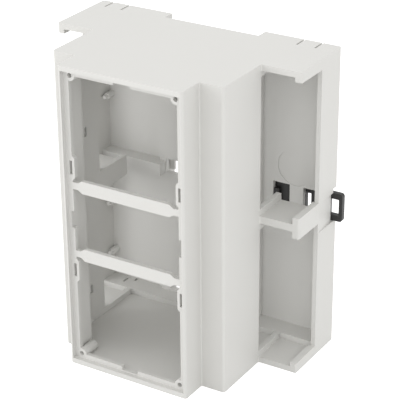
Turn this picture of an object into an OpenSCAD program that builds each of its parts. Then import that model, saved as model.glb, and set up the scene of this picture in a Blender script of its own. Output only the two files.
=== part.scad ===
// Six module DIN rail enclosure, 90 x 105 x 58 mm, with its rear base and its rail clip.
// It stands on one end wall: Z runs along the rail direction, the open front looks to -Y,
// and X runs across the ears. Depths in the modules are counted back from the front plane,
// and place() puts the middle of the depth at the origin.

/* [Enclosure] */
// Length along the rail direction
body_length = 105; // [96:0.5:150]
// Width across the ears
body_width = 90; // [86:0.5:110]
// Depth from the front plane to the back of the ears
body_depth = 58; // [57:0.5:64]
// Width of the raised front
front_width = 45; // [43:0.5:50]
// Depth of the raised front, down to its shoulders
front_depth = 9.5; // [8:0.5:14]
// Width of the neck behind the shoulders
neck_width = 62; // [58:0.5:66]
// Depth at which the neck ends and the ears begin
neck_depth = 31.7; // [28:0.1:36]
// Thickness of the end walls
end_wall = 2; // [1.6:0.1:2.6]
// Thickness of the front, shoulder and neck walls
side_wall = 1.8; // [1.4:0.1:2.4]
// Thickness of the outer side walls
ear_wall = 1.5; // [1.2:0.1:2.2]
// Radius of the long outer corners
corner_r = 1; // [0.4:0.1:1.6]
// Radius of the long inner corners
inner_r = 0.5; // [0.2:0.1:1]
// Radius of the inner edges behind the shoulders
shoulder_r = 2; // [0.5:0.1:2.4]

/* [Front frame] */
// Depth of the rebate that a front panel lies in
rebate_depth = 1.7; // [1.2:0.1:2.4]
// Width of the rim along the long sides
rim_side = 1; // [0.8:0.1:1.4]
// Width of the rim along the ends
rim_end = 1.8; // [1.2:0.1:2]
// Width of the panel ledge along the long sides
ledge_side = 1.9; // [1.4:0.1:2.6]
// Width of the panel ledge along the ends
ledge_end = 1.6; // [1.2:0.1:2.4]
// Thickness of the ledge and of the bars
ledge_thick = 1.5; // [1:0.1:2.2]
// Length of the finger notch in the middle of each ledge
notch_length = 6; // [4:0.5:10]
// Distance from the middle to each panel catch
catch_offset = 18.1; // [17:0.1:22]
// Length of a panel catch
catch_length = 8.4; // [7:0.1:9.5]
// How far a panel catch stands in from the ledge
catch_height = 0.9; // [0.6:0.1:1.4]
// Length of the slot in a panel catch
catch_slot_length = 4.7; // [3:0.1:5.5]
// Width of the slot in a panel catch
catch_slot_width = 1; // [0.6:0.1:1.2]

/* [Break-out bars] */
// Distance from the middle to each bar
bar_offset = 12; // [10:0.1:12.6]
// Height of a bar
bar_height = 4.3; // [3:0.1:5]
// Height of the thin neck at each end of a bar
bar_neck_height = 2.3; // [1.6:0.1:2.8]
// Length of the thin neck, from the ledge to the taper
bar_neck_length = 1.9; // [1.2:0.1:3]
// Length of the taper between the neck and the bar
bar_taper = 1.5; // [0.8:0.1:2.4]

/* [Screw bosses] */
// Distance of a boss axis from the long side of the front
boss_from_side = 3.4; // [2.9:0.1:3.6]
// Distance of a boss axis from the end of the enclosure
boss_from_end = 3.4; // [3.1:0.1:4.2]
// Outer radius of a boss
boss_r = 1.8; // [1.6:0.1:2.4]
// Length of a boss, back from the rebate
boss_length = 6.8; // [6:0.1:12]
// Radius of the pilot hole
pilot_r = 0.8; // [0.6:0.05:1.1]
// Depth of the pilot hole
pilot_depth = 5.6; // [4:0.1:5.8]

/* [Terminal recesses] */
// Width of the outer side walls, measured from the back
side_wall_width = 13.1; // [10:0.1:15]
// Thickness of the lips along the ears
lip_thick = 2.3; // [1.8:0.1:3]
// Height of the end lips above the outer end faces
lip_height = 3.5; // [3:0.1:6]
// Thickness of the partition between two recesses
partition_thick = 2.6; // [2:0.1:3.4]
// Height of the lips along the partition
partition_lip = 7.2; // [5:0.1:9]
// Height of the curb that carries the neck line on over the end walls
curb_height = 2; // [1:0.1:3]
// Depth at which the thin front part of the neck walls ends
neck_step_depth = 21.5; // [16:0.1:25]
// How much thinner the front part of the neck walls is
neck_step = 0.4; // [0.2:0.1:0.6]
// Heights of the two catch pockets inside each neck wall
pocket_heights = [14.8, 73];
// Length of a catch pocket
pocket_length = 3.2; // [2:0.1:5]
// Width of a catch pocket
pocket_width = 1.4; // [0.8:0.1:2]
// Depth of a catch pocket in the neck wall
pocket_depth = 0.8; // [0.4:0.1:0.9]

/* [Snap tongues] */
// Middle of the tongues on the side without the clip
tongue_fixed_x = -37.6; // [-38:0.1:-34]
// Middle of the tongues on the clip side
tongue_clip_x = 35.1; // [30:0.1:37]
// Width of a tongue
tongue_width = 6.4; // [5:0.1:7.4]
// Length of the slits beside a tongue
tongue_length = 5.5; // [4:0.1:7]
// Width of a slit
slit_width = 0.6; // [0.4:0.1:1]
// Height of the snap ridge under each tongue
ridge_height = 0.6; // [0.3:0.1:0.9]
// Clearance round the snap ridges
ridge_clearance = 0.15; // [0.1:0.05:0.3]

/* [Rail] */
// Width of the rail
rail_width = 35; // [34.5:0.5:36]
// Thickness of the rail's flanges
rail_flange = 1; // [0.8:0.1:1.5]
// Clearance on each side of the rail
rail_clearance = 0.1; // [0.05:0.05:0.4]
// Depth of the rail channel
channel_depth = 4.4; // [4:0.1:6]
// Thickness of the walls along the channel
channel_wall = 2.2; // [1.2:0.1:2.6]
// How far the fixed hooks reach over the rail
hook_reach = 1.8; // [1.2:0.1:2.6]
// Thickness of a fixed hook
hook_thick = 1.8; // [1.2:0.1:2.2]
// Length of a fixed hook along the rail edge
hook_length = 5; // [3:0.5:8]
// Distance of the outer hooks from the ends
hook_from_end = 7.5; // [7:0.1:12]
// Width of the window over each hook
hook_window = 5.4; // [3:0.1:8]

/* [Base] */
// How far the base flanges stand forward of the plate
flange_reach = 7.5; // [5:0.1:8]
// Thickness of the base plate
plate_thick = 1.6; // [1.2:0.1:1.8]
// Thickness of the base flanges
flange_thick = 2; // [1.4:0.1:2.4]
// Clearance between the base and the side walls
base_clearance = 0.3; // [0.1:0.05:0.5]
// Thickness of the tall flange on the fixed side
tall_flange_thick = 2.2; // [1.6:0.1:3]
// How far the cross beam stands forward of the plate
beam_reach = 5.1; // [3:0.1:6]
// Top of the cross beam above the middle
beam_above = 1.6; // [1:0.1:4]
// Height of the cross beam
beam_height = 4.4; // [4:0.1:8]
// Heights of the stepped pegs beside the tall flange
peg_heights = [14.2, 33.8, 73.8];
// Radius of a peg
peg_r = 1.2; // [0.9:0.1:1.5]
// Radius of the pin on a peg
peg_pin_r = 0.7; // [0.4:0.1:0.8]
// Length of a peg with its pin
peg_length = 4.8; // [3:0.1:6]
// Length of the pin on a peg
peg_pin_length = 1.4; // [0.8:0.1:2]
// Each slot in the end flanges, as its position across and its reach forward of the plate
relief_slots = [[-34.5, 4.4], [-31.3, 1.9]];
// Length of a slot in the end flanges
relief_length = 3; // [1:0.1:4]
// Width of a slot in the end flanges
relief_width = 0.8; // [0.5:0.1:1.2]
// Position across of the round knock-out
knockout_x = 31.8; // [30:0.1:36]
// Distance of the round knock-out from the middle
knockout_z = 9.7; // [9:0.1:20]
// Radius of the round knock-out
knockout_r = 6.5; // [4:0.1:6.6]
// Depth of the knock-out's recess
knockout_groove = 0.3; // [0.2:0.05:0.6]

/* [Rail clip] */
// Width of the clip along the rail direction
clip_width = 9.9; // [8:0.1:12]
// Distance of the clip below the middle
clip_drop = 1.9; // [0:0.1:3]
// Thickness of the clip
clip_thick = 1.8; // [1.4:0.1:2.3]
// How far the clip reaches under the rail flange
clip_reach = 1.7; // [1.2:0.1:2.4]
// How far the pull tab stands out of the side wall
tab_reach = 3.2; // [2:0.1:8]
// Radius of the corners of the tab
tab_corner_r = 1; // [0.4:0.1:1.6]
// Distance from the end of the tab to its slot
tab_slot_from_end = 1.3; // [1:0.1:3]
// Width of the slot in the tab
tab_slot_width = 3.3; // [2:0.1:4]
// Length of the slot in the tab
tab_slot_length = 5.7; // [4:0.1:7]
// Distance between the middles of the tab slot and the next slot
clip_slot_pitch = 9.4; // [8:0.1:11]
// Width of the next slot
clip_slot_width = 2; // [1.4:0.1:3]
// Travel of the clip when it is pulled
clip_travel = 4; // [3:0.1:4.5]
// Clearance between the clip and its guide
clip_clearance = 0.2; // [0.1:0.05:0.4]
// Thickness of the guide rails
guide_thick = 1.5; // [1:0.1:2]
// How far the guide rails reach over the edges of the clip
guide_lip = 0.8; // [0.4:0.1:1.4]
// Width of the stop lug on the clip
lug_width = 1.8; // [1.2:0.1:2.6]
// Length of the stop lug
lug_length = 5; // [3:0.1:7]
// Position across of the window that the stop lug runs in
lug_window_x = 23.6; // [22:0.1:27]
// Position across of the outer window
outer_window_x = 34.8; // [33:0.1:38]

/* [Hidden] */
$fn = 48;

corner_steps = 4;
cut = 1;
fuse = 0.4;
light_grey = [0.90, 0.90, 0.88];
dark_black = [0.15, 0.15, 0.15];

mid = body_length / 2;
half_width = body_width / 2;
front_half = front_width / 2;
neck_half = neck_width / 2;

ledge_front = rebate_depth;
ledge_back = rebate_depth + ledge_thick;
opening_half = front_half - rim_side - ledge_side;
opening_end = rim_end + ledge_end;

channel_floor = body_depth - channel_depth;
channel_half = rail_width / 2 + rail_clearance;
wall_outer = channel_half + channel_wall;
hook_front = channel_floor + rail_flange + 0.4;

plate_front = channel_floor;
plate_back = channel_floor + plate_thick;
base_half = half_width - ear_wall - base_clearance;
base_front = channel_floor - flange_reach;
beam_front = channel_floor - beam_reach;
side_wall_front = body_depth - side_wall_width;
inner_flange_x = tall_flange_thick - base_half;
peg_x = inner_flange_x + peg_r;

clip_front = plate_back + clip_clearance;
clip_back = clip_front + clip_thick;
clip_z = mid - clip_drop;
clip_inner = rail_width / 2 - clip_reach;
clip_outer = half_width + tab_reach;
guide_half = clip_width / 2 + clip_clearance;
tab_slot_x = clip_outer - tab_slot_from_end - tab_slot_width / 2;
lug_window_width = lug_width + clip_travel + 2 * clip_clearance;
lug_x = lug_window_x + clip_clearance;

// Moves a depth counted from the front plane to its place about the origin
module place() {
    translate([0, -body_depth / 2, 0]) children();
}

// Repeats what it holds on both sides of the middle plane across the ears
module both_sides() {
    children();
    mirror([1, 0, 0]) children();
}

// Repeats what it holds at both ends
module both_ends() {
    children();
    translate([0, 0, body_length]) mirror([0, 0, 1]) children();
}

// A block between two corners
module block(low, high) {
    translate(low) cube(high - low);
}

// A cylinder that runs back from a depth
module back_cylinder(x, depth, z, r, length) {
    translate([x, depth, z]) rotate([-90, 0, 0]) cylinder(r = r, h = length);
}

function unit(v) = v / norm(v);
function turned(v, angle) = [v.x * cos(angle) - v.y * sin(angle), v.x * sin(angle) + v.y * cos(angle)];

// The points of one rounded corner
function corner_arc(before, corner, after, r) =
    let (
        u = unit(before - corner),
        v = unit(after - corner),
        half = acos(u * v) / 2,
        centre = corner + unit(u + v) * r / sin(half),
        start = corner + u * r / tan(half) - centre,
        sweep = sign(cross(v, u)) * (180 - 2 * half)
    )
    [for (i = [0 : corner_steps]) centre + turned(start, sweep * i / corner_steps)];

// An outline with rounded corners, from points that hold x, y and a corner radius
function rounded(points) =
    let (count = len(points))
    [for (i = [0 : count - 1])
        let (
            p = points[i],
            before = points[(i + count - 1) % count],
            after = points[(i + 1) % count]
        )
        each p[2] > 0
            ? corner_arc([before.x, before.y], [p.x, p.y], [after.x, after.y], p[2])
            : [[p.x, p.y]]];

// The points of a half outline and of its mirror image
function mirrored(points) = concat(
    points,
    [for (i = [len(points) - 1 : -1 : 0]) [-points[i].x, points[i].y, points[i][2]]]
);

// Outer form across the depth, without the rail channel
function outer_half() = [
    [front_half, 0, corner_r],
    [front_half, front_depth, inner_r],
    [neck_half, front_depth, corner_r],
    [neck_half, neck_depth, inner_r],
    [half_width, neck_depth, inner_r],
    [half_width, body_depth, corner_r],
];

// The channel that the rail lies in
function channel_points() = [
    [channel_half, body_depth + cut, 0],
    [channel_half, channel_floor, inner_r],
    [-channel_half, channel_floor, inner_r],
    [-channel_half, body_depth + cut, 0],
];

// Section of one side of the front, its shoulder and its neck
function front_section() = [
    [front_half, 0, corner_r],
    [front_half, front_depth, inner_r],
    [neck_half, front_depth, corner_r],
    [neck_half, neck_depth, 0],
    [neck_half - side_wall, neck_depth - side_wall, 0],
    [neck_half - side_wall, neck_step_depth, 0],
    [neck_half - side_wall + neck_step, neck_step_depth, 0],
    [neck_half - side_wall + neck_step, front_depth + side_wall, inner_r],
    [front_half - side_wall, front_depth + side_wall, shoulder_r],
    [front_half - side_wall, ledge_back, inner_r],
    [opening_half, ledge_back, 0],
    [opening_half, ledge_front, 0],
    [front_half - rim_side, ledge_front, 0],
    [front_half - rim_side, 0, 0],
];

// One end wall with the rail channel in its back edge
module end_plate() {
    linear_extrude(end_wall) difference() {
        polygon(rounded(mirrored(outer_half())));
        polygon(rounded(channel_points()));
    }
}

// Ledge across one end of the front
module end_ledge() {
    block([-front_half + rim_side, ledge_front, rim_end], [front_half - rim_side, ledge_back, opening_end]);
}

// Screw boss at one corner of the front
module screw_boss() {
    back_cylinder(front_half - boss_from_side, ledge_front, boss_from_end, boss_r, boss_length);
}

// Pilot hole in one screw boss
module pilot_hole() {
    back_cylinder(front_half - boss_from_side, ledge_front - cut, boss_from_end, pilot_r, pilot_depth + cut);
}

// Break-out bar across the front, thinned to a neck at each end
module breakout_bar(z) {
    neck_x = opening_half + fuse;
    taper_x = opening_half - bar_neck_length;
    full_x = taper_x - bar_taper;
    right_side = [
        [full_x, bar_height / 2, 0],
        [taper_x, bar_neck_height / 2, 0],
        [neck_x, bar_neck_height / 2, 0],
        [neck_x, -bar_neck_height / 2, 0],
        [taper_x, -bar_neck_height / 2, 0],
        [full_x, -bar_height / 2, 0],
    ];
    translate([0, ledge_back, z]) rotate([90, 0, 0])
        linear_extrude(ledge_thick) polygon(rounded(mirrored(right_side)));
}

// Raised catch on the ledge, with sloping ends
module panel_catch(z) {
    low = catch_length / 2;
    high = low - catch_height;
    root = opening_half + fuse;
    translate([0, ledge_back, z]) rotate([90, 0, 0]) linear_extrude(ledge_thick)
        polygon([[root, -low], [opening_half, -low], [opening_half - catch_height, -high],
            [opening_half - catch_height, high], [opening_half, low], [root, low]]);
}

// Slot through one panel catch
module catch_slot(z) {
    middle = opening_half + (ledge_side - catch_height) / 2;
    block([middle - catch_slot_width / 2, ledge_front - cut, z - catch_slot_length / 2],
        [middle + catch_slot_width / 2, ledge_back + cut, z + catch_slot_length / 2]);
}

// Finger notches in the middle of the ledges
module ledge_notches() {
    reach = front_half - side_wall;
    block([-reach, ledge_front, mid - notch_length / 2], [reach, ledge_back + cut, mid + notch_length / 2]);
    both_ends() block([-notch_length / 2, ledge_front, end_wall],
        [notch_length / 2, ledge_back + cut, opening_end + cut]);
}

// Partition between two terminal recesses, with a lip along both of its edges
module partition() {
    low = mid - partition_lip / 2;
    high = mid + partition_lip / 2;
    back = base_front - base_clearance;
    block([neck_half - side_wall, neck_depth - side_wall, mid - partition_thick / 2],
        [half_width - ear_wall, back, mid + partition_thick / 2]);
    block([neck_half - side_wall, neck_depth - side_wall, low], [neck_half, back, high]);
    block([half_width - lip_thick, neck_depth, low], [half_width, side_wall_front + fuse, high]);
}

// Lip along the outer edge of one end wall, and the curb in line with the neck
module recess_edges() {
    block([half_width - lip_thick, neck_depth, 0], [half_width, side_wall_front + fuse, lip_height]);
    block([neck_half - side_wall, neck_depth - side_wall, end_wall - fuse],
        [neck_half, base_front - base_clearance, end_wall + curb_height]);
}

// Outer side wall behind a terminal recess
module outer_wall() {
    block([half_width - ear_wall, side_wall_front, 0], [half_width, body_depth, body_length]);
}

// Catch pockets inside one neck wall
module neck_pockets() {
    for (z = pocket_heights)
        block([neck_half - side_wall - cut, neck_step_depth + fuse, z - pocket_length / 2],
            [neck_half - side_wall + pocket_depth, neck_step_depth + fuse + pocket_width, z + pocket_length / 2]);
}

// Slits beside one snap tongue, and the pocket under it for the ridge of the base
module tongue_cuts(x) {
    for (side = [-1, 1])
        block([x + side * tongue_width / 2 - slit_width / 2, body_depth - tongue_length, -cut],
            [x + side * tongue_width / 2 + slit_width / 2, body_depth + cut, end_wall + cut]);
    translate([x, 0, 0]) ridge(ridge_clearance);
}

// Snap ridge that holds the base under a tongue, grown by a clearance
module ridge(grow) {
    half = tongue_width / 2 - slit_width - ridge_clearance + grow;
    foot = plate_front + grow;
    point = plate_front - ridge_height - grow;
    heel = plate_front - 2 * ridge_height - grow;
    translate([-half, 0, 0]) rotate([90, 0, 90]) linear_extrude(2 * half)
        polygon([[foot, end_wall + fuse], [foot, end_wall], [point, end_wall - ridge_height - grow],
            [heel, end_wall], [heel, end_wall + fuse]]);
}

// Opening in the side wall that the pull tab comes out of, with a sloping scoop before it
module tab_opening() {
    low = clip_z - guide_half;
    high = clip_z + guide_half;
    front = clip_front - 2 * clip_clearance;
    scoop_depth = ear_wall / 2;
    scoop_start = side_wall_front - cut;
    block([half_width - ear_wall - cut, front, low], [half_width + cut, body_depth + cut, high + guide_thick]);
    translate([0, 0, low]) linear_extrude(high - low)
        polygon([[half_width, scoop_start], [half_width + cut, scoop_start], [half_width + cut, front + cut],
            [half_width - scoop_depth, front + cut], [half_width - scoop_depth, front]]);
}

// The main moulding: front frame, neck, end walls, ears, partitions and side walls
module housing() {
    color(light_grey) place() difference() {
        intersection() {
            linear_extrude(body_length) polygon(rounded(mirrored(outer_half())));
            union() {
                both_ends() {
                    end_plate();
                    end_ledge();
                    both_sides() {
                        screw_boss();
                        recess_edges();
                    }
                }
                both_sides() {
                    linear_extrude(body_length) polygon(rounded(front_section()));
                    partition();
                    outer_wall();
                    for (side = [-1, 1]) panel_catch(mid + side * catch_offset);
                }
                for (side = [-1, 1]) breakout_bar(mid + side * bar_offset);
            }
        }
        block([rim_side - front_half, -cut, rim_end],
            [front_half - rim_side, ledge_front, body_length - rim_end]);
        ledge_notches();
        both_ends() {
            both_sides() pilot_hole();
            tongue_cuts(tongue_fixed_x);
            tongue_cuts(tongue_clip_x);
        }
        both_sides() {
            neck_pockets();
            for (side = [-1, 1]) catch_slot(mid + side * catch_offset);
        }
        tab_opening();
    }
}

// Flange of the base along one end wall, with its relief slots and snap ridges
module end_flange() {
    difference() {
        block([-base_half, base_front, end_wall], [base_half, plate_back, end_wall + flange_thick]);
        for (slot = relief_slots)
            block([slot.x - relief_width / 2, plate_front - slot.y, end_wall - cut],
                [slot.x + relief_width / 2, plate_front - slot.y + relief_length, end_wall + flange_thick + cut]);
    }
    for (x = [tongue_fixed_x, tongue_clip_x]) translate([x, 0, 0]) ridge(0);
}

// Hollow beam across the base on the fixed side, open at the back
module cross_beam() {
    top = mid + beam_above;
    block([-base_half, beam_front, top - beam_height], [-channel_half, plate_back, top]);
}

// Hollow behind the cross beam
module beam_hollow() {
    top = mid + beam_above - plate_thick;
    block([inner_flange_x, beam_front + plate_thick, top + 2 * plate_thick - beam_height],
        [-wall_outer, plate_back + cut, top]);
}

// Stepped peg beside the tall flange
module peg(z) {
    body = peg_length - peg_pin_length;
    back_cylinder(peg_x, plate_front - body, z, peg_r, body + fuse);
    back_cylinder(peg_x, plate_front - peg_length, z, peg_pin_r, peg_pin_length + fuse);
}

// One fixed hook over the rail edge, with a sloping back
module fixed_hook(z) {
    tip = hook_reach - rail_width / 2;
    back = hook_front + hook_thick;
    translate([0, 0, z - hook_length / 2]) linear_extrude(hook_length)
        polygon([[-channel_half - fuse, hook_front], [tip, hook_front], [tip, hook_front + hook_thick / 2],
            [-channel_half, back], [-channel_half - fuse, back]]);
}

// Window over one fixed hook
module hook_opening(z) {
    block([-channel_half + inner_r, channel_floor - plate_thick - cut, z - hook_length / 2],
        [hook_window - channel_half + inner_r, channel_floor + cut, z + hook_length / 2]);
}

// Ring groove of one round knock-out
module knockout(z) {
    back_cylinder(knockout_x, plate_front - cut, z, knockout_r, cut + knockout_groove);
}

// Guide rails on the back of the base, with lips over the edges of the clip
module clip_guide() {
    outer = guide_half + guide_thick;
    block([channel_half, plate_front, clip_z - outer], [base_half, body_depth, clip_z + outer]);
}

// Space for the clip between its guide rails
module guide_hollow() {
    back = clip_back + clip_clearance;
    block([channel_half - cut, plate_back, clip_z - guide_half], [half_width + cut, back, clip_z + guide_half]);
    block([channel_half - cut, plate_back, clip_z - guide_half + guide_lip + clip_clearance],
        [half_width + cut, body_depth + cut, clip_z + guide_half - guide_lip - clip_clearance]);
}

// Windows in the plate over the clip
module clip_windows() {
    low = clip_z - guide_half;
    high = clip_z + guide_half;
    block([lug_window_x, plate_front - cut, low], [lug_window_x + lug_window_width, plate_back + cut, high]);
    block([outer_window_x, plate_front - cut, low], [half_width, plate_back + cut, high]);
}

// The rear moulding: plate, flanges, rail channel, fixed hooks and clip guide
module base() {
    hook_zs = [hook_from_end, mid, body_length - hook_from_end];
    color(light_grey) place() difference() {
        union() {
            both_ends() end_flange();
            both_sides() {
                block([channel_half, plate_front, end_wall], [base_half, plate_back, body_length - end_wall]);
                block([channel_half, plate_front - plate_thick, end_wall],
                    [wall_outer, body_depth, body_length - end_wall]);
            }
            block([-wall_outer, channel_floor - plate_thick, end_wall],
                [wall_outer, channel_floor, body_length - end_wall]);
            block([-base_half, base_front, end_wall], [inner_flange_x, plate_back, body_length - end_wall]);
            cross_beam();
            clip_guide();
            for (z = hook_zs) fixed_hook(z);
            for (z = peg_heights) peg(z);
        }
        beam_hollow();
        guide_hollow();
        clip_windows();
        for (z = hook_zs) hook_opening(z);
        knockout(mid + knockout_z);
    }
}

// The sliding rail clip, a flat black strip with a nose, a stop lug and a slotted pull tab
module rail_clip() {
    nose = clip_thick / 2;
    color(dark_black) place() difference() {
        union() {
            translate([0, clip_back, clip_z]) rotate([90, 0, 0]) linear_extrude(clip_thick)
                polygon(rounded([[clip_inner, -clip_width / 2, 0], [clip_outer, -clip_width / 2, tab_corner_r],
                    [clip_outer, clip_width / 2, tab_corner_r], [clip_inner, clip_width / 2, 0]]));
            block([lug_x, plate_front + clip_clearance, clip_z - lug_length / 2],
                [lug_x + lug_width, clip_front + fuse, clip_z + lug_length / 2]);
        }
        translate([0, 0, clip_z - clip_width]) linear_extrude(2 * clip_width)
            polygon([[clip_inner - cut, clip_back - nose - cut], [clip_inner + nose + cut, clip_back + cut],
                [clip_inner - cut, clip_back + cut]]);
        block([tab_slot_x - tab_slot_width / 2, clip_front - cut, clip_z - tab_slot_length / 2],
            [tab_slot_x + tab_slot_width / 2, clip_back + cut, clip_z + tab_slot_length / 2]);
        block([tab_slot_x - clip_slot_pitch - clip_slot_width / 2, clip_front - cut, clip_z - tab_slot_length / 2],
            [tab_slot_x - clip_slot_pitch + clip_slot_width / 2, clip_back + cut, clip_z + tab_slot_length / 2]);
    }
}

housing();
base();
rail_clip();
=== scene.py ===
"""DIN rail enclosure: camera, light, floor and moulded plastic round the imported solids."""
import math

import bpy
from mathutils import Matrix, Vector

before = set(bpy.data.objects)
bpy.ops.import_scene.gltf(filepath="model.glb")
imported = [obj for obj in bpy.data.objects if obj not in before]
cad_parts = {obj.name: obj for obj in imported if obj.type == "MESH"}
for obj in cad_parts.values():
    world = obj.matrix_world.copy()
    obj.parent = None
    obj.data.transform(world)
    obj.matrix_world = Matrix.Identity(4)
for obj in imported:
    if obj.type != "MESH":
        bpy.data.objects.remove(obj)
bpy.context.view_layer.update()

MM = 0.001

# ---------------------------------------------------------------- camera
AZIMUTH = math.radians(31.693)
ELEVATION = math.radians(25.602)
ROLL = math.radians(-0.468)
DISTANCE = 513.28 * MM
TARGET = Vector((10.44, 0.0, 55.545)) * MM
LENS = 143.91
SENSOR = 36
NEAREST = 0.01
FARTHEST = 20


def make_camera():
    back = Vector((
        math.sin(AZIMUTH) * math.cos(ELEVATION),
        -math.cos(AZIMUTH) * math.cos(ELEVATION),
        math.sin(ELEVATION),
    ))
    level = Vector((0, 0, 1)).cross(back).normalized()
    upright = back.cross(level)
    right = math.cos(ROLL) * level + math.sin(ROLL) * upright
    up = math.cos(ROLL) * upright - math.sin(ROLL) * level
    data = bpy.data.cameras.new("camera")
    data.lens = LENS
    data.sensor_width = SENSOR
    data.clip_start = NEAREST
    data.clip_end = FARTHEST
    camera = bpy.data.objects.new("camera", data)
    turn = Matrix((right, up, back)).transposed().to_4x4()
    camera.matrix_world = Matrix.Translation(TARGET + back * DISTANCE) @ turn
    bpy.context.scene.collection.objects.link(camera)
    bpy.context.scene.camera = camera


# ---------------------------------------------------------------- light
WORLD_LIGHT = 1.11
LAMP_SIZE = 0.8
LAMP_AIM = Vector((0, 0, 0.05))
LAMPS = [  # name, place, watts
    ("right", (1.2, -0.15, 0.35), 1.1),
    ("left", (-1.0, -0.7, 0.35), 4.8),
    ("front_right", (0.8, -0.8, 0.5), 0.8),
    ("front_top", (0.1, -0.85, 0.9), 0.7),
]


def soft_lamp(name, place, watts):
    data = bpy.data.lights.new(name, "AREA")
    data.shape = "SQUARE"
    data.size = LAMP_SIZE
    data.energy = watts
    lamp = bpy.data.objects.new(name, data)
    lamp.location = place
    lamp.rotation_euler = (LAMP_AIM - Vector(place)).to_track_quat("-Z", "Y").to_euler()
    bpy.context.scene.collection.objects.link(lamp)


def camera_ray_only(tree):
    """1 for what the camera sees, also by way of gloss or glass, and 0 for the light on things."""
    path = tree.nodes.new("ShaderNodeLightPath")
    seen = path.outputs["Is Camera Ray"]
    for ray in ("Is Glossy Ray", "Is Transmission Ray"):
        either = tree.nodes.new("ShaderNodeMath")
        either.operation = "MAXIMUM"
        tree.links.new(seen, either.inputs[0])
        tree.links.new(path.outputs[ray], either.inputs[1])
        seen = either.outputs[0]
    return seen


def white_background(tree, strength):
    shader = tree.nodes.new("ShaderNodeBackground")
    shader.inputs["Color"].default_value = (1, 1, 1, 1)
    shader.inputs["Strength"].default_value = strength
    return shader.outputs[0]


def make_world():
    """A plain white room: its light falls on things, and the camera sees white."""
    world = bpy.data.worlds.new("studio")
    world.use_nodes = True
    tree = world.node_tree
    tree.nodes.clear()
    out = tree.nodes.new("ShaderNodeOutputWorld")
    mix = tree.nodes.new("ShaderNodeMixShader")
    tree.links.new(camera_ray_only(tree), mix.inputs[0])
    tree.links.new(white_background(tree, WORLD_LIGHT), mix.inputs[1])
    tree.links.new(white_background(tree, 1), mix.inputs[2])
    tree.links.new(mix.outputs[0], out.inputs["Surface"])
    bpy.context.scene.world = world


# ---------------------------------------------------------------- floor
FLOOR_SIZE = 12
FLOOR_COLOUR = (0.8, 0.8, 0.8, 1)
FLOOR_GLOW = 0.5


def make_floor():
    """A pale floor that keeps the shadow and is lifted to white for the camera alone."""
    bpy.ops.mesh.primitive_plane_add(size=FLOOR_SIZE, location=(0, 0, 0))
    floor = bpy.context.object
    floor.name = "floor"
    material = bpy.data.materials.new("floor")
    material.use_nodes = True
    tree = material.node_tree
    tree.nodes.clear()
    out = tree.nodes.new("ShaderNodeOutputMaterial")
    diffuse = tree.nodes.new("ShaderNodeBsdfDiffuse")
    diffuse.inputs["Color"].default_value = FLOOR_COLOUR
    glow = tree.nodes.new("ShaderNodeEmission")
    glow.inputs["Strength"].default_value = FLOOR_GLOW
    add = tree.nodes.new("ShaderNodeAddShader")
    mix = tree.nodes.new("ShaderNodeMixShader")
    tree.links.new(diffuse.outputs[0], add.inputs[0])
    tree.links.new(glow.outputs[0], add.inputs[1])
    tree.links.new(camera_ray_only(tree), mix.inputs[0])
    tree.links.new(diffuse.outputs[0], mix.inputs[1])
    tree.links.new(add.outputs[0], mix.inputs[2])
    tree.links.new(mix.outputs[0], out.inputs["Surface"])
    floor.data.materials.append(material)


# ---------------------------------------------------------------- materials
LIGHT_GREY = (0.625, 0.619, 0.596)
LIGHT_GREY_DARKER = (0.605, 0.6, 0.577)
BLACK = (0.03, 0.03, 0.03)
BLACK_DARKER = (0.02, 0.02, 0.02)
GREY_ROUGHNESS = 0.5
BLACK_ROUGHNESS = 0.45
ROUGHNESS_SPREAD = 0.08
SPECULAR = 0.4
DRIFT_SCALE = 35
DRIFT_DETAIL = 3
GRAIN_SCALE = 2500
GRAIN_DETAIL = 4
GRAIN_STRENGTH = 0.15
GRAIN_HEIGHT = 0.1 * MM
MIX_FACTOR, MIX_A, MIX_B, MIX_RESULT = 0, 6, 7, 2  # sockets of a Mix node set to colour


def noise(tree, place, scale, detail):
    node = tree.nodes.new("ShaderNodeTexNoise")
    node.inputs["Scale"].default_value = scale
    node.inputs["Detail"].default_value = detail
    tree.links.new(place, node.inputs["Vector"])
    return node.outputs["Fac"]


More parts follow.
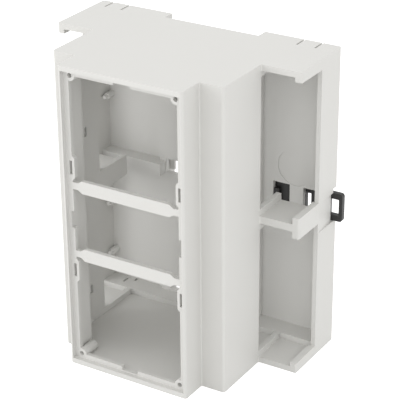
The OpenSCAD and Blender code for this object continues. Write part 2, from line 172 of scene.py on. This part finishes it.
def moulded_plastic(name, colour, darker, roughness):
    """Moulded plastic: faint tone drift, spark-eroded grain, and roughness that follows the grain."""
    material = bpy.data.materials.new(name)
    material.use_nodes = True
    tree = material.node_tree
    shader = tree.nodes["Principled BSDF"]
    shader.inputs["Specular IOR Level"].default_value = SPECULAR
    place = tree.nodes.new("ShaderNodeTexCoord").outputs["Object"]

    tone = tree.nodes.new("ShaderNodeMix")
    tone.data_type = "RGBA"
    tone.inputs[MIX_A].default_value = (*darker, 1)
    tone.inputs[MIX_B].default_value = (*colour, 1)
    tree.links.new(noise(tree, place, DRIFT_SCALE, DRIFT_DETAIL), tone.inputs[MIX_FACTOR])
    tree.links.new(tone.outputs[MIX_RESULT], shader.inputs["Base Color"])

    grain = noise(tree, place, GRAIN_SCALE, GRAIN_DETAIL)
    rough = tree.nodes.new("ShaderNodeMapRange")
    rough.inputs["To Min"].default_value = roughness - ROUGHNESS_SPREAD
    rough.inputs["To Max"].default_value = roughness + ROUGHNESS_SPREAD
    tree.links.new(grain, rough.inputs["Value"])
    tree.links.new(rough.outputs[0], shader.inputs["Roughness"])

    lift = tree.nodes.new("ShaderNodeBump")
    lift.inputs["Strength"].default_value = GRAIN_STRENGTH
    lift.inputs["Distance"].default_value = GRAIN_HEIGHT
    tree.links.new(grain, lift.inputs["Height"])
    tree.links.new(lift.outputs[0], shader.inputs["Normal"])
    return material


# ---------------------------------------------------------------- solids
WELD_GAP = 0.001 * MM
SHARP_FROM = math.radians(50)
EDGE_SEGMENTS = 2
HOUSING_EDGE = 0.25 * MM
BASE_EDGE = 0.15 * MM
CLIP_EDGE = 0.2 * MM


def dress(node, material, edge):
    """Puts the material on a solid and softens its sharp edges, as a mould does."""
    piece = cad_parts[node]
    piece.data.materials.clear()
    piece.data.materials.append(material)
    weld = piece.modifiers.new("joined_faces", "WELD")
    weld.merge_threshold = WELD_GAP
    soft = piece.modifiers.new("soft_edges", "BEVEL")
    soft.width = edge
    soft.segments = EDGE_SEGMENTS
    soft.limit_method = "ANGLE"
    soft.angle_limit = SHARP_FROM


make_camera()
make_world()
for lamp in LAMPS:
    soft_lamp(*lamp)
make_floor()

grey = (LIGHT_GREY, LIGHT_GREY_DARKER, GREY_ROUGHNESS)
black = (BLACK, BLACK_DARKER, BLACK_ROUGHNESS)
dress("housing", moulded_plastic("housing_plastic", *grey), HOUSING_EDGE)
dress("base", moulded_plastic("base_plastic", *grey), BASE_EDGE)
dress("rail_clip", moulded_plastic("clip_plastic", *black), CLIP_EDGE)

bpy.context.scene.view_settings.view_transform = "Standard"
